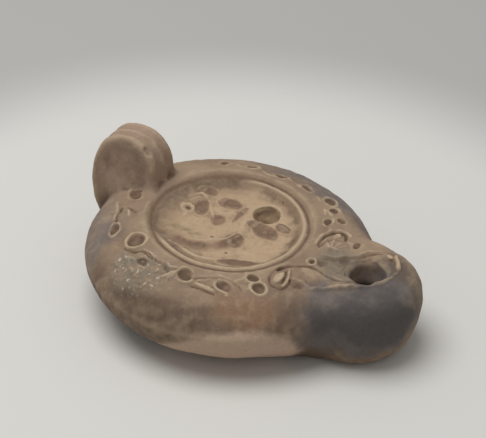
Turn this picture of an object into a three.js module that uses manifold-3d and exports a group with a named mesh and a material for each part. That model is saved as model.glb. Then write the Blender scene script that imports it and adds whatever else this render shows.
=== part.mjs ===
// A mould-made Roman oil lamp in fired clay: a low round body with a worn picture in a sunken
// disc, a vine round its shoulder, a short nozzle with scrolls, and a grooved lug handle.
// Millimetres, +Z up, +X towards the nozzle. The underside's flat stands on z = 0.

import * as THREE from 'three';
import { mergeVertices } from 'three/addons/utils/BufferGeometryUtils.js';
import Module from 'manifold-3d';

// ---------------------------------------------------------------- driving dimensions

const BODY = { radiusX: 36.4, radiusY: 36.6, widestZ: 13.3, rimZ: 23 };
const BASE = { radius: 18.7, groove: 16.2, grooveWidth: 1.6, grooveDepth: 0.5 };
const SHOULDER = { radiusX: 29.2, radiusY: 26.8, drop: 2, lipDrop: 0.5 };  // where the flank turns to the top
const NOZZLE = { tip: 52, radius: 14.9, footTip: 46.6, footRadius: 11.4, footLift: 0.7 };
const LIP = { tip: 46.6, radius: 10.4 };                          // the nozzle's flat top
const DISC = { outer: 21.4, crest: 18.6, centreDepth: 3.8, channelDepth: 1.7 };
const WICK = { x: 38.1, y: 0.1, radius: 5.1 };
const FILL = { x: 5.3, y: 10, radius: 3.4 };
const WALL = 3.5;
const SLOPE = 0.045;           // the top falls a little towards the nozzle

const HANDLE = { front: -21.3, back: -41, top: 36.6, y: 4.8, thick: 11.8, ridge: 0.75 };

const AROUND = 68;             // points in each ring of the body

// ---------------------------------------------------------------- outlines seen from above

const ellipse = (t, a, b) => (a * b) / Math.hypot(b * Math.cos(t), a * Math.sin(t));

// How far a straight-sided, round-ended tongue along +X reaches in the direction t.
function tongue(t, tip, radius) {
  const c = Math.cos(t);
  const s = Math.abs(Math.sin(t));
  if (c <= 0) return 0;
  const centre = tip - radius;
  if (s * centre > radius * c) return radius / s;
  return centre * c + Math.sqrt(Math.max(radius ** 2 - (centre * s) ** 2, 0));
}

// How far the outline that wraps a circle at 0 and a smaller one near the tip reaches.
function wrapped(t, bigRadius, tip, radius) {
  const centre = tip - radius;
  const lean = Math.acos((bigRadius - radius) / centre);
  const turn = Math.abs(Math.atan2(Math.sin(t), Math.cos(t)));
  if (turn > lean) return bigRadius;
  const end = Math.atan2(radius * Math.sin(lean), centre + radius * Math.cos(lean));
  if (turn > end) return bigRadius / Math.cos(turn - lean);
  return centre * Math.cos(turn) + Math.sqrt(radius ** 2 - (centre * Math.sin(turn)) ** 2);
}

// The larger of two lengths, with the corner between them rounded over the width k.
function blendMax(a, b, k) {
  const h = THREE.MathUtils.clamp(0.5 + (0.5 * (a - b)) / k, 0, 1);
  return b * (1 - h) + a * h + k * h * (1 - h);
}

const footOutline = (t) => wrapped(t, BASE.radius, NOZZLE.footTip, NOZZLE.footRadius);
// The nozzle grows out of the body: partly a tongue beside it, partly a wrap round both.
function widestOutline(t) {
  const body = ellipse(t, BODY.radiusX, BODY.radiusY);
  const apart = blendMax(body, tongue(t, NOZZLE.tip, NOZZLE.radius), 6);
  const together = wrapped(t, BODY.radiusY, NOZZLE.tip, NOZZLE.radius);
  return Math.max(body, THREE.MathUtils.lerp(apart, together, 0.2));
}
const shoulderOutline = (t) =>
  blendMax(ellipse(t, SHOULDER.radiusX, SHOULDER.radiusY), tongue(t, LIP.tip, LIP.radius), 2);

// ---------------------------------------------------------------- solids from rings

// Closed solid through rings of points; the first and last ring are closed by a fan.
function loft(rings) {
  const count = rings[0].length;
  const points = rings.flat();
  const faces = [];
  for (let i = 0; i < rings.length - 1; i += 1) {
    for (let j = 0; j < count; j += 1) {
      const k = (j + 1) % count;
      const a = i * count + j;
      const b = i * count + k;
      faces.push(a, b, b + count, a, b + count, a + count);
    }
  }
  for (const [ring, flip] of [[0, true], [rings.length - 1, false]]) {
    const middle = new THREE.Vector3();
    rings[ring].forEach((p) => middle.addScaledVector(p, 1 / count));
    points.push(middle);
    for (let j = 0; j < count; j += 1) {
      const a = ring * count + j;
      const b = ring * count + ((j + 1) % count);
      faces.push(...(flip ? [b, a, points.length - 1] : [a, b, points.length - 1]));
    }
  }
  const geometry = new THREE.BufferGeometry().setFromPoints(points);
  geometry.setIndex(faces);
  return geometry;
}

// A ring of points: radius and height are functions of the direction.
function ring(radius, height, count = AROUND) {
  return Array.from({ length: count }, (_, j) => {
    const t = (2 * Math.PI * j) / count;
    const r = radius(t);
    const x = r * Math.cos(t);
    const z = height(t, x);
    return new THREE.Vector3(x, r * Math.sin(t), z - SLOPE * x * THREE.MathUtils.clamp(z / BODY.rimZ, 0, 1) ** 2);
  });
}

// ---------------------------------------------------------------- the body's outside

const footHeight = (t, x) => NOZZLE.footLift * THREE.MathUtils.smoothstep(x, BASE.radius, NOZZLE.footTip);

// From the edge of the foot out to the widest line.
function lowerRings(steps) {
  return Array.from({ length: steps + 1 }, (_, i) => {
    const a = (Math.PI / 2) * (i / steps);
    const out = Math.sin(a) ** 1.16;
    const up = 1 - Math.cos(a);
    return ring(
      (t) => footOutline(t) + (widestOutline(t) - footOutline(t)) * out,
      (t, x) => footHeight(t, x) * (1 - up) + BODY.widestZ * up,
    );
  });
}

const onNozzle = (x) => THREE.MathUtils.smoothstep(x, 27, 37);

// The shoulder's edge lies below the rim, but hardly so on the nozzle.
const edgeHeight = (t, x) => BODY.rimZ - THREE.MathUtils.lerp(SHOULDER.drop, SHOULDER.lipDrop, onNozzle(x));

// From the widest line up to the shoulder's edge: nearly straight on the body's flank, and
// round on the nozzle.
function upperRings(steps) {
  return Array.from({ length: steps }, (_, i) => {
    const a = (Math.PI / 2) * ((i + 1) / steps);
    const fullness = (x) => THREE.MathUtils.lerp(1.34, 0.8, onNozzle(x));
    return ring(
      (t) => {
        const widest = widestOutline(t);
        const out = Math.cos(a) ** fullness(widest * Math.cos(t));
        return shoulderOutline(t) + (widest - shoulderOutline(t)) * out;
      },
      (t, x) => BODY.widestZ + (edgeHeight(t, x) - BODY.widestZ) * Math.sin(a) ** fullness(x),
    );
  });
}

const circle = (r) => () => r;
const level = (z) => () => z;

// The underside, from its middle out: a flat disc, a turned groove and the foot's edge.
function undersideRings() {
  const { groove, grooveWidth: w, grooveDepth: d } = BASE;
  const steps = [[8, 0], [groove - w / 2, 0], [groove - w / 4, d], [groove + w / 4, d], [groove + w / 2, 0]];
  return steps.map(([r, z]) => ring(circle(r), level(z)));
}

// The top, from the shoulder's edge in: sloping shoulder, rim, channel, crest and sunken disc.
function topRings() {
  const { rimZ } = BODY;
  const { outer, crest, centreDepth, channelDepth } = DISC;
  const shoulderIn = ring(
    (t) => THREE.MathUtils.lerp(shoulderOutline(t), outer, 0.5),
    (t, x) => THREE.MathUtils.lerp(edgeHeight(t, x), rimZ, 0.55),
  );
  const profile = [
    [outer + 0.5, rimZ - 0.1], [outer - 0.4, rimZ - 0.2], [outer - 1.1, rimZ - channelDepth],
    [crest + 0.8, rimZ - channelDepth], [crest + 0.3, rimZ - 0.5], [crest - 0.3, rimZ - 0.5],
    [crest - 1, rimZ - 1.8], [crest - 3.5, rimZ - 2.8], [crest - 8, rimZ - 3.4], [4, rimZ - centreDepth],
  ];
  return [shoulderIn, ...profile.map(([r, z]) => ring(circle(r), level(z)))];
}

function bodyOutside() {
  return loft([...undersideRings(), ...lowerRings(7), ...upperRings(4), ...topRings()]);
}

// ---------------------------------------------------------------- the hollow inside

// The oil chamber runs on into the nozzle; its walls are one wall's thickness in.
function chamber() {
  const count = 36;
  const widestIn = (t) => widestOutline(t) - WALL - 0.3;
  const footIn = (t) => footOutline(t) - 1.5;
  const topIn = (t) => shoulderOutline(t) - WALL + 0.4;
  const underDisc = BODY.rimZ - DISC.centreDepth - WALL + 0.4;
  const rings = [ring(circle(8), level(WALL), count), ring(footIn, level(WALL), count)];
  for (const part of [0.35, 0.7, 1]) {
    const out = Math.sin((part * Math.PI) / 2);
    const up = 1 - Math.cos((part * Math.PI) / 2);
    rings.push(ring(
      (t) => footIn(t) + (widestIn(t) - footIn(t)) * out,
      level(WALL + (BODY.widestZ - WALL) * up),
      count,
    ));
  }
  rings.push(ring((t) => THREE.MathUtils.lerp(widestIn(t), topIn(t), 0.6), level(BODY.widestZ + 3.2), count));
  rings.push(ring(topIn, level(BODY.rimZ - SHOULDER.drop - WALL - 0.3), count));
  rings.push(ring((t) => Math.min(topIn(t), DISC.outer - 1), level(BODY.rimZ - DISC.channelDepth - WALL - 0.2), count));
  rings.push(ring(circle(12), level(underDisc), count));
  return loft(rings);
}

// A slightly funnel-shaped hole down through the top.
function hole({ x, y, radius }, bottom, top) {
  const geometry = new THREE.CylinderGeometry(radius * 1.06, radius, top - bottom, 24);
  geometry.rotateX(Math.PI / 2);
  geometry.translate(x, y, (top + bottom) / 2);
  return geometry;
}

// ---------------------------------------------------------------- the handle

// Side view of the lug: straight front, round head, and a back that runs down into the body.
function lugOutline(points) {
  const { front, back, top } = HANDLE;
  const shape = new THREE.Shape();
  shape.moveTo(front - 6, 8);
  shape.lineTo(front, 16);
  shape.lineTo(front - 0.2, 25);
  shape.bezierCurveTo(front - 0.6, 33, front - 4, top, front - 9, top);
  shape.bezierCurveTo(front - 14.5, top, back + 1.2, 33, back + 0.3, 25);
  shape.bezierCurveTo(back - 0.3, 18, back + 1.5, 12, back + 6.5, 7);
  return shape.getSpacedPoints(points).slice(0, -1).reverse();
}

// Across its thickness the edge of the lug carries three ridges with two grooves between them.
function handle() {
  const outline = lugOutline(30);
  const { front, back, thick, ridge, y } = HANDLE;
  const middle = { x: (front + back) / 2, z: 24 };
  const reach = (front - back) / 2;
  const section = [
    [-0.5, 3.4], [-0.5, 1.5], [-0.44, 0.35], [-0.36, 0], [-0.27, 0], [-0.18, ridge], [-0.08, 0],
    [0.08, 0], [0.18, ridge], [0.27, 0], [0.36, 0], [0.44, 0.35], [0.5, 1.5], [0.5, 3.4],
  ];
  const rings = section.map(([across, inset]) => outline.map((p) => {
    const shrink = 1 - inset / reach;
    const z = middle.z + (p.y - middle.z) * shrink;
    const taper = 1 - 0.22 * THREE.MathUtils.smoothstep(z, 22, HANDLE.top);
    return new THREE.Vector3(middle.x + (p.x - middle.x) * shrink, y + across * thick * taper, z);
  }));
  return loft(rings);
}

// ---------------------------------------------------------------- raised work on the top

// Height of the shoulder and nozzle top over a place in plan.
function topHeight(x, y) {
  const r = Math.hypot(x, y);
  const t = Math.atan2(y, x);
  const edge = shoulderOutline(t);
  const part = THREE.MathUtils.clamp((r - DISC.outer) / (edge - DISC.outer), 0, 1);
  const discDepth = DISC.centreDepth - 1.1 * THREE.MathUtils.smoothstep(r, 4, DISC.crest - 3.5);
  const z = r < DISC.crest - 1 ? BODY.rimZ - discDepth : THREE.MathUtils.lerp(BODY.rimZ, edgeHeight(t, x), part);
  return z - SLOPE * x;
}

// A low rounded lump, half sunk in the surface.
function lump(x, y, length, width, height, turn = 0) {
  const geometry = new THREE.SphereGeometry(1, 8, 5);
  geometry.rotateX(Math.PI / 2);
  geometry.scale(length / 2, width / 2, height);
  geometry.rotateZ(turn);
  geometry.translate(x, y, topHeight(x, y));
  return geometry;
}

// A low rounded strip along a smooth path in plan, half sunk in the surface.
function strip(path, width, height, steps) {
  const sides = 6;
  const curve = new THREE.CatmullRomCurve3(path.map(([x, y]) => new THREE.Vector3(x, y, 0)));
  const rings = Array.from({ length: steps + 1 }, (_, i) => {
    const u = i / steps;
    const p = curve.getPointAt(u);
    const along = curve.getTangentAt(u);
    const half = (width / 2) * (0.45 + 0.55 * Math.sin(Math.PI * THREE.MathUtils.clamp(u, 0.04, 0.96)) ** 0.5);
    return Array.from({ length: sides }, (_, j) => {
      const a = (2 * Math.PI * j) / sides;
      const side = half * Math.cos(a);
      const x = p.x - along.y * side;
      const y = p.y + along.x * side;
      return new THREE.Vector3(x, y, topHeight(x, y) + height * Math.sin(a));
    });
  });
  return loft(rings);
}

// A scroll: a path that winds in to an eye.
function scrollPath(x, y, radius, start, turns, steps = 12) {
  return Array.from({ length: steps + 1 }, (_, i) => {
    const u = i / steps;
    const a = start + 2 * Math.PI * turns * u;
    const r = radius * (1 - 0.62 * u);
    return [x + r * Math.cos(a), y + r * Math.sin(a)];
  });
}

// The nozzle's two scrolls and the lip round the wick hole.
function nozzleWork() {
  const lip = Array.from({ length: 17 }, (_, i) => {
    const a = -2.3 + (4.6 * i) / 16;
    return [WICK.x + (WICK.radius + 1.7) * Math.cos(a), WICK.y + (WICK.radius + 1.7) * Math.sin(a)];
  });
  const near = [[33.5, -5.6], [29, -6.6], [25.6, -8.2]];
  const far = [[33.5, 5.8], [30, 6.6], [26.6, 8]];
  return [
    strip(lip, 2.2, 0.7, 16),
    strip([...near, ...scrollPath(22, -12.4, 3.6, 0.9, 1.1)], 1.9, 0.8, 20),
    strip([...far, ...scrollPath(24.2, 11.4, 3.4, -0.9, -1.1)], 1.9, 0.8, 20),
  ];
}

// Vine round the shoulder: a wavy stem, with grapes and rings in its bends.
function vine() {
  const solids = [];
  const middle = (t) => (DISC.outer + shoulderOutline(t)) / 2 + 0.3;
  for (const [from, to] of [[-2.75, -0.62], [0.6, 2.45]]) {
    const bends = Math.round((to - from) * 4.2);
    const path = Array.from({ length: bends * 3 + 1 }, (_, i) => {
      const u = i / (bends * 3);
      const t = from + (to - from) * u;
      const r = middle(t) + 1.5 * Math.sin(u * bends * Math.PI);
      return [r * Math.cos(t), r * Math.sin(t)];
    });
    solids.push(strip(path, 1.1, 0.55, bends * 3));
    for (let i = 0; i < bends; i += 1) {
      const t = from + ((to - from) * (i + 0.5)) / bends;
      const r = middle(t) + (i % 2 ? 1.6 : -1.6);
      solids.push(lump(r * Math.cos(t), r * Math.sin(t), 2.8, 2.3, 0.8, t));
    }
  }
  return solids;
}

// The worn picture in the disc: low masses of a seated figure and the ground line it sits on.
function picture() {
  return [
    lump(-8.5, 3.5, 10, 8, 1.1, 0.3),
    lump(-2.5, 4.2, 8, 4.6, 1, -0.2),
    lump(3.2, 1.5, 11, 4, 0.9, 1),
    lump(8.5, 1.2, 8, 6, 1, 0.4),
    lump(-3, -6.4, 15, 4.6, 0.8, -0.35),
    lump(12.4, -4.4, 5.5, 3.6, 0.7, 0.9),
  ];
}

// ---------------------------------------------------------------- one fired piece of clay

const wasm = await Module();
wasm.setup();

function solid(geometry) {
  geometry.deleteAttribute('normal');
  geometry.deleteAttribute('uv');
  const merged = mergeVertices(geometry, 1e-4);
  return new wasm.Manifold(new wasm.Mesh({
    numProp: 3,
    vertProperties: Float32Array.from(merged.attributes.position.array),
    triVerts: Uint32Array.from(merged.index.array),
  }));
}

function lampGeometry() {
  let clay = solid(bodyOutside()).add(solid(handle()));
  for (const piece of [...nozzleWork(), ...vine(), ...picture()]) clay = clay.add(solid(piece));
  clay = clay.subtract(solid(chamber()));
  clay = clay.subtract(solid(hole(FILL, BODY.widestZ, BODY.rimZ + 2)));
  clay = clay.subtract(solid(hole(WICK, BODY.widestZ, BODY.rimZ + 2)));
  const mesh = clay.getMesh();
  const geometry = new THREE.BufferGeometry();
  geometry.setAttribute('position', new THREE.BufferAttribute(mesh.vertProperties, 3));
  geometry.setIndex(new THREE.BufferAttribute(mesh.triVerts, 1));
  geometry.computeVertexNormals();
  return geometry;
}

const clayMaterial = new THREE.MeshStandardMaterial({ color: 0x8d7860, roughness: 0.86, metalness: 0 });

const lamp = new THREE.Mesh(lampGeometry(), clayMaterial);
lamp.name = 'lamp';

const group = new THREE.Group();
group.add(lamp);
export default group;
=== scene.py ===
# %% [markdown]
# # A mould-made Roman oil lamp
#
# The real lamp was pressed in a two-part mould: the maker joined the halves, stuck on a lug
# handle, pierced the filling and wick holes, and fired it. Two thousand years of use and burial
# then softened its relief. This script makes the smooth vessel, its hollow and its handle first,
# then the vine, the scrolls and the picture, then the wear, and last the colours. Lengths are in
# millimetres until the clay is finished, because small whole numbers are easier to read; the
# scene is in metres.

# %% Load the frame that the solid model gives
import math
import bpy
import numpy as np
from mathutils import Matrix, Vector


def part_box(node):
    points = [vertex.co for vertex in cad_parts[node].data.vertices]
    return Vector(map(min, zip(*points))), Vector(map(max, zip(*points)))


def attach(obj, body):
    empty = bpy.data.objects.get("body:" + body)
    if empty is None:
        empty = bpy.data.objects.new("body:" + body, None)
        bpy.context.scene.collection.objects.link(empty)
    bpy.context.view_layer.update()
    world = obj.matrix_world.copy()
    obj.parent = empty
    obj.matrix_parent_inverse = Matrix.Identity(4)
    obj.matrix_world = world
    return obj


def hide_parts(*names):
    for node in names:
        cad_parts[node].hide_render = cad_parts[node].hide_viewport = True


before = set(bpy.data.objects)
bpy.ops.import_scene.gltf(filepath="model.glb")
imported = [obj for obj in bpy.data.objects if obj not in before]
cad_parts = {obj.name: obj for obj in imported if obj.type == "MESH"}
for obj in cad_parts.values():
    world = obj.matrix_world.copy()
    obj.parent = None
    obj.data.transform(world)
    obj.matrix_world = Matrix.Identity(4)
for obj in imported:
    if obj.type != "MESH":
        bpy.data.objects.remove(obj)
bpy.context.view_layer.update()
MM = 0.001
low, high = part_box("lamp")
low_mm, high_mm = np.array(low) / MM, np.array(high) / MM
print("solid, mm:", low_mm.round(1), high_mm.round(1))

# %% [markdown]
# ## The sizes that drive the form
#
# The far ends come from the solid's box. The rest are the same few sizes that the solid was
# made from: a round body, a foot, a sunken disc with a thin ring round it, and a short nozzle.
# Each hole is its place in plan and its radius.

# %% Driving sizes
TIP_X = high_mm[0]
BODY_Y = high_mm[1]
BODY_X = 36.4
WIDEST_Z = 13.3
RIM_Z = 23.0
FOOT = 18.7
NOZZLE = 14.9
FOOT_TIP, FOOT_NOZZLE = 46.6, 11.4
EDGE_X, EDGE_Y = 29.2, 26.8
LIP_TIP, LIP = 46.6, 10.4
NOZZLE_FROM, NOZZLE_FULL = 27, 37
DISC = 21.4
SLOPE = 0.045
WALL = 3.5
WICK = (38.1, 0.1, 5.1)
FILL = (5.3, 10.0, 3.4)
print("body %.1f mm wide, nozzle to x %.1f, rim at z %.1f" % (2 * BODY_Y, TIP_X, RIM_Z))


def smooth(x, start, end):
    """0 before start, 1 after end, and an even ramp between."""
    t = np.clip((np.asarray(x, float) - start) / (end - start), 0, 1)
    return t * t * (3 - 2 * t)


def mix(a, b, share):
    return a + (b - a) * share


# %% [markdown]
# ## Outlines seen from above
#
# Every level of the vessel is one outline round the disc's middle, written as a radius for each
# direction. The body is an ellipse and the nozzle is a round-ended tongue; a rounded maximum of
# the two gives the soft corner where they meet. Low down, the clay wraps round both instead.

# %% Outlines as radius over direction
WAIST_FILLED = 0.2


def ellipse(t, a, b):
    return a * b / np.hypot(b * np.cos(t), a * np.sin(t))


def tongue(t, tip, radius):
    """A round-ended tongue that reaches to tip."""
    c, s, centre = np.cos(t), np.abs(np.sin(t)), tip - radius
    side = radius / np.maximum(s, 1e-9)
    end = centre * c + np.sqrt(np.maximum(radius**2 - (centre * s) ** 2, 0))
    return np.where(c > 0, np.where(s * centre > radius * c, side, end), 0)


def wrapped(t, big, tip, radius):
    """The outline of a cord drawn tight round the body and the nozzle."""
    centre = tip - radius
    lean = math.acos((big - radius) / centre)
    end = math.atan2(radius * math.sin(lean), centre + radius * math.cos(lean))
    turn = np.abs((t + math.pi) % (2 * math.pi) - math.pi)
    front = centre * np.cos(turn) + np.sqrt(np.maximum(radius**2 - (centre * np.sin(turn)) ** 2, 0))
    side = big / np.cos(np.minimum(turn - lean, 1.5))
    return np.where(turn > lean, big, np.where(turn > end, side, front))


def rounded_max(a, b, width):
    h = np.clip(0.5 + 0.5 * (a - b) / width, 0, 1)
    return mix(b, a, h) + width * h * (1 - h)


def foot_outline(t):
    return wrapped(t, FOOT, FOOT_TIP, FOOT_NOZZLE)


def widest_outline(t):
    body = ellipse(t, BODY_X, BODY_Y)
    apart = rounded_max(body, tongue(t, TIP_X, NOZZLE), 6)
    return np.maximum(body, mix(apart, wrapped(t, BODY_Y, TIP_X, NOZZLE), WAIST_FILLED))


def edge_outline(t):
    return rounded_max(ellipse(t, EDGE_X, EDGE_Y), tongue(t, LIP_TIP, LIP), 2)


def edge_height(x):
    return RIM_Z - mix(2.0, 0.5, smooth(x, NOZZLE_FROM, NOZZLE_FULL))


print("widest outline from", widest_outline(np.linspace(0, math.pi, 90)).min().round(1), "mm")


# %% [markdown]
# ## The top as a height over the plan
#
# The disc's mouldings are turned: a rim, a narrow channel, a thin crest, and a floor that sinks
# to the middle. They are one small profile of radius against depth. Towards the handle the
# crest is worn away, and the wall is one soft slope: a second profile, which takes over there.
# All later relief is measured from this height, so it has its own function. The top leans, and
# falls by SLOPE towards the nozzle.

# %% Height of the top
TURNED_R = [0.0, 4.0, 10.6, 15.1, 16.9, 17.8, 18.3, 18.7, 19.0, 19.4, 19.9, 20.6, 21.3, 22.0]
CRISP_Z = [-3.6, -3.6, -3.2, -2.6, -2.1, -1.5, -0.8, -0.5, -0.6, -1.1, -1.15, -0.6, -0.15, 0.0]
WORN_Z = [-3.6, -3.6, -3.3, -3.0, -2.7, -2.4, -2.2, -2.0, -1.8, -1.5, -1.1, -0.5, -0.15, 0.0]


WORN_TOWARDS, WORN_WITHIN, CRISP_BEYOND = (math.radians(a) for a in (166, 50, 78))


def worn_side(t):
    """1 where the crest is lost, towards the handle, and 0 where it stands."""
    away = np.abs((t - WORN_TOWARDS + math.pi) % (2 * math.pi) - math.pi)
    return 1 - smooth(away, WORN_WITHIN, CRISP_BEYOND)


def turned_height(r, t):
    return mix(np.interp(r, TURNED_R, CRISP_Z), np.interp(r, TURNED_R, WORN_Z), worn_side(t))


def top_height(x, y):
    r, t = np.hypot(x, y), np.arctan2(y, x)
    edge = edge_outline(t)
    part = np.clip((r - DISC) / (edge - DISC), 0, 1.5)
    shoulder = mix(RIM_Z, edge_height(x), part)
    turned = RIM_Z + turned_height(r, t)
    return np.where(r < DISC, turned, shoulder) - SLOPE * x


print("top at the middle, rim and lip:", [round(float(top_height(x, 0.0)), 2) for x in (0, 22, 44)])

# %% [markdown]
# ## From rings to a closed mesh
#
# Rings of points, joined row by row and closed with a fan at both ends, make any turned or
# lofted shape. The same helper makes the vessel, the hollow inside it and the handle.

# %% Mesh helpers
def new_object(name, points, faces):
    mesh = bpy.data.meshes.new(name)
    mesh.from_pydata([tuple(p) for p in points], [], faces)
    mesh.validate()
    made = bpy.data.objects.new(name, mesh)
    bpy.context.scene.collection.objects.link(made)
    return made


def loft(name, rings):
    rings = np.asarray(rings, float)
    rows, count = rings.shape[:2]
    grid = np.arange(rows * count).reshape(rows, count)
    after = np.roll(grid, -1, axis=1)
    quads = np.stack([grid[:-1], after[:-1], after[1:], grid[1:]], -1).reshape(-1, 4)
    first, last = rows * count, rows * count + 1
    fans = [(after[0, j], grid[0, j], first) for j in range(count)]
    fans += [(grid[-1, j], after[-1, j], last) for j in range(count)]
    points = np.vstack([rings.reshape(-1, 3), rings[0].mean(0), rings[-1].mean(0)])
    return new_object(name, points, [tuple(map(int, f)) for f in [*quads, *fans]])


AROUND = 288
turn = np.linspace(0, 2 * math.pi, AROUND, endpoint=False)


def level_ring(radius, height):
    """Radius and height are numbers or arrays over the directions; the top leans with SLOPE."""
    radius, height = (np.broadcast_to(v, turn.shape) for v in (radius, height))
    x, y = radius * np.cos(turn), radius * np.sin(turn)
    lean = SLOPE * x * np.clip(height / RIM_Z, 0, 1) ** 2
    return np.stack([x, y, height - lean], -1)


print("points in each ring:", AROUND)

# %% [markdown]
# ## The vessel's outside
#
# Underneath is a flat ring foot with one shallow groove. Below the widest line the flank is a
# quarter of a round. Above it, the body runs nearly straight up to the shoulder's edge, while
# the nozzle stays full and round, and its toe is lifted a little off the table.

# %% The vessel's outside
UNDERSIDE = ((6, 0), (15.4, 0), (15.8, 0.5), (16.6, 0.5), (17, 0))
FLANK_POWER = 1.16
BODY_POWER, NOZZLE_POWER = 1.34, 0.8
TOE_LIFT = 0.7


def fullness(x):
    """The power that bends the upper flank: straight on the body, round on the nozzle."""
    return mix(BODY_POWER, NOZZLE_POWER, smooth(x, NOZZLE_FROM, NOZZLE_FULL))


def vessel_rings():
    rings = [level_ring(r, z) for r, z in UNDERSIDE]
    foot, widest, edge = foot_outline(turn), widest_outline(turn), edge_outline(turn)
    lift = TOE_LIFT * smooth(foot * np.cos(turn), FOOT, FOOT_TIP)
    for a in np.linspace(0, math.pi / 2, 25):
        up = 1 - math.cos(a)
        rings.append(level_ring(mix(foot, widest, math.sin(a) ** FLANK_POWER), mix(lift, WIDEST_Z, up)))
    for a in np.linspace(0, math.pi / 2, 21)[1:]:
        radius = mix(edge, widest, np.cos(a) ** fullness(widest * np.cos(turn)))
        x = radius * np.cos(turn)
        height = mix(WIDEST_Z, edge_height(x), np.sin(a) ** fullness(x))
        rings.append(level_ring(radius, height))
    for part in (0.75, 0.5, 0.25):
        radius = mix(DISC, edge, part)
        rings.append(level_ring(radius, mix(RIM_Z, edge_height(radius * np.cos(turn)), part)))
    for r in np.linspace(DISC, 1, 60):
        rings.append(level_ring(r, RIM_Z + turned_height(r, turn)))
    return rings


vessel = loft("vessel", vessel_rings())
print("vessel points:", len(vessel.data.vertices))

# %% [markdown]
# ## The hollow inside
#
# The mould halves were only lined with clay, so the lamp is a shell about 3.5 mm thick. Its
# chamber is the same form set in by one wall, and it runs on into the nozzle to feed the wick.
# The filling hole and the wick hole were cut through the top while the clay was damp, which
# pushed a burr of clay inwards round each.

# %% The hollow, its two holes and their burrs
ROUND_HOLE = 72
EARTH_FROM_TO = (15.2, 19.6)


def hollow_rings():
    foot = foot_outline(turn) - 1.5
    outside = widest_outline(turn)
    widest = outside - WALL - 0.3 - 1.6 * smooth(outside * np.cos(turn), 30, 40)
    edge = np.minimum(edge_outline(turn) - WALL + 0.4, widest - 1)
    rings = [level_ring(8, WALL)]
    for a in np.linspace(0, math.pi / 2, 10):
        rings.append(level_ring(mix(foot, widest, math.sin(a)), mix(WALL, WIDEST_Z, 1 - math.cos(a))))
    rings.append(level_ring(mix(widest, edge, 0.6), WIDEST_Z + 3.2))
    rings.append(level_ring(edge, RIM_Z - 5.8))
    rings.append(level_ring(np.minimum(edge, DISC - 1), RIM_Z - 5.4))
    rings.append(level_ring(12, RIM_Z - 6.9))
    return rings


def pierced(name, hole, wider, bottom, top, flare=0.0, choked=0.0):
    """A column round a hole cut by hand: not quite round, wider at its mouth, and with old
    earth choking its lower end by so much."""
    cx, cy, radius = hole
    t = np.linspace(0, 2 * math.pi, ROUND_HOLE, endpoint=False)
    rings = []
    for z in np.linspace(bottom, top, 20):
        r = (radius + wider) * (1 + 0.03 * np.cos(2 * t + 0.6) + 0.02 * np.cos(3 * t + cx))
        r = r + flare * smooth(z, top - 5, top - 1.5) - choked * (1 - smooth(z, *EARTH_FROM_TO))
        rings.append(np.stack([cx + r * np.cos(t), cy + r * np.sin(t), np.full(ROUND_HOLE, z)], -1))
    return loft(name, rings)


hollow = loft("hollow", hollow_rings())
burrs = [
    pierced("filling_burr", FILL, 1.5, 14.2, 18.2),
    pierced("wick_burr", WICK, 1.6, 14.0, 19.2),
]
holes = [
    pierced("filling_hole", FILL, 0, 11.5, 22.5, 0.3, 1.7),
    pierced("wick_hole", WICK, -0.5, 11.5, 24.5, 0.9, 1.9),
]
print("cut away:", [c.name for c in [hollow] + holes])

# %% [markdown]
# ## The lug handle
#
# The lug was made in the same mould: an upright tab with flat, slightly hollow cheeks and two
# worn grooves that run over its edge from front to back. Seen from the side it is one outline
# of curves; across its thickness the outline draws in for the grooves, the edges and the
# cheeks. Low down it spreads, as the potter smoothed its foot into the shoulder.

# %% The lug handle
HANDLE_Y, HANDLE_THICK, GROOVE = 4.8, 11.8, 0.5
HANDLE_FRONT, HANDLE_BACK, HANDLE_TOP = -21.3, -41.0, high_mm[2]
GROOVE_APART, TAPER, SPREAD = 0.36, 0.24, 0.34
# Half of the section: how far across the thickness, and how far in from the outline.
CHEEK = [
    (0.405, 8.6), (0.41, 6), (0.425, 3.8), (0.45, 2.6),
    (0.48, 1.8), (0.497, 1.1), (0.49, 0.6), (0.455, 0.2),
]


def bezier(a, b, c, d, count):
    u = np.linspace(0, 1, count, endpoint=False)[:, None]
    a, b, c, d = (np.array(p, float) for p in (a, b, c, d))
    return a * (1 - u) ** 3 + 3 * b * u * (1 - u) ** 2 + 3 * c * u**2 * (1 - u) + d * u**3


def lug_outline():
    f, b, top = HANDLE_FRONT, HANDLE_BACK, HANDLE_TOP
    parts = [
        bezier((f - 6, 8), (f - 4, 10.7), (f - 2, 13.3), (f, 16), 8),
        bezier((f, 16), (f, 19), (f - 0.1, 22), (f - 0.2, 25), 12),
        bezier((f - 0.2, 25), (f - 0.6, 33), (f - 4, top), (f - 9, top), 28),
        bezier((f - 9, top), (f - 14.5, top), (b + 1.2, 33), (b + 0.3, 25), 28),
        bezier((b + 0.3, 25), (b - 0.3, 18), (b + 1.5, 12), (b + 6.5, 7), 24),
        bezier((b + 6.5, 7), (b + 8, 7.3), (f - 7.5, 7.7), (f - 6, 8), 8),
    ]
    return np.vstack(parts)[::-1]


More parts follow.
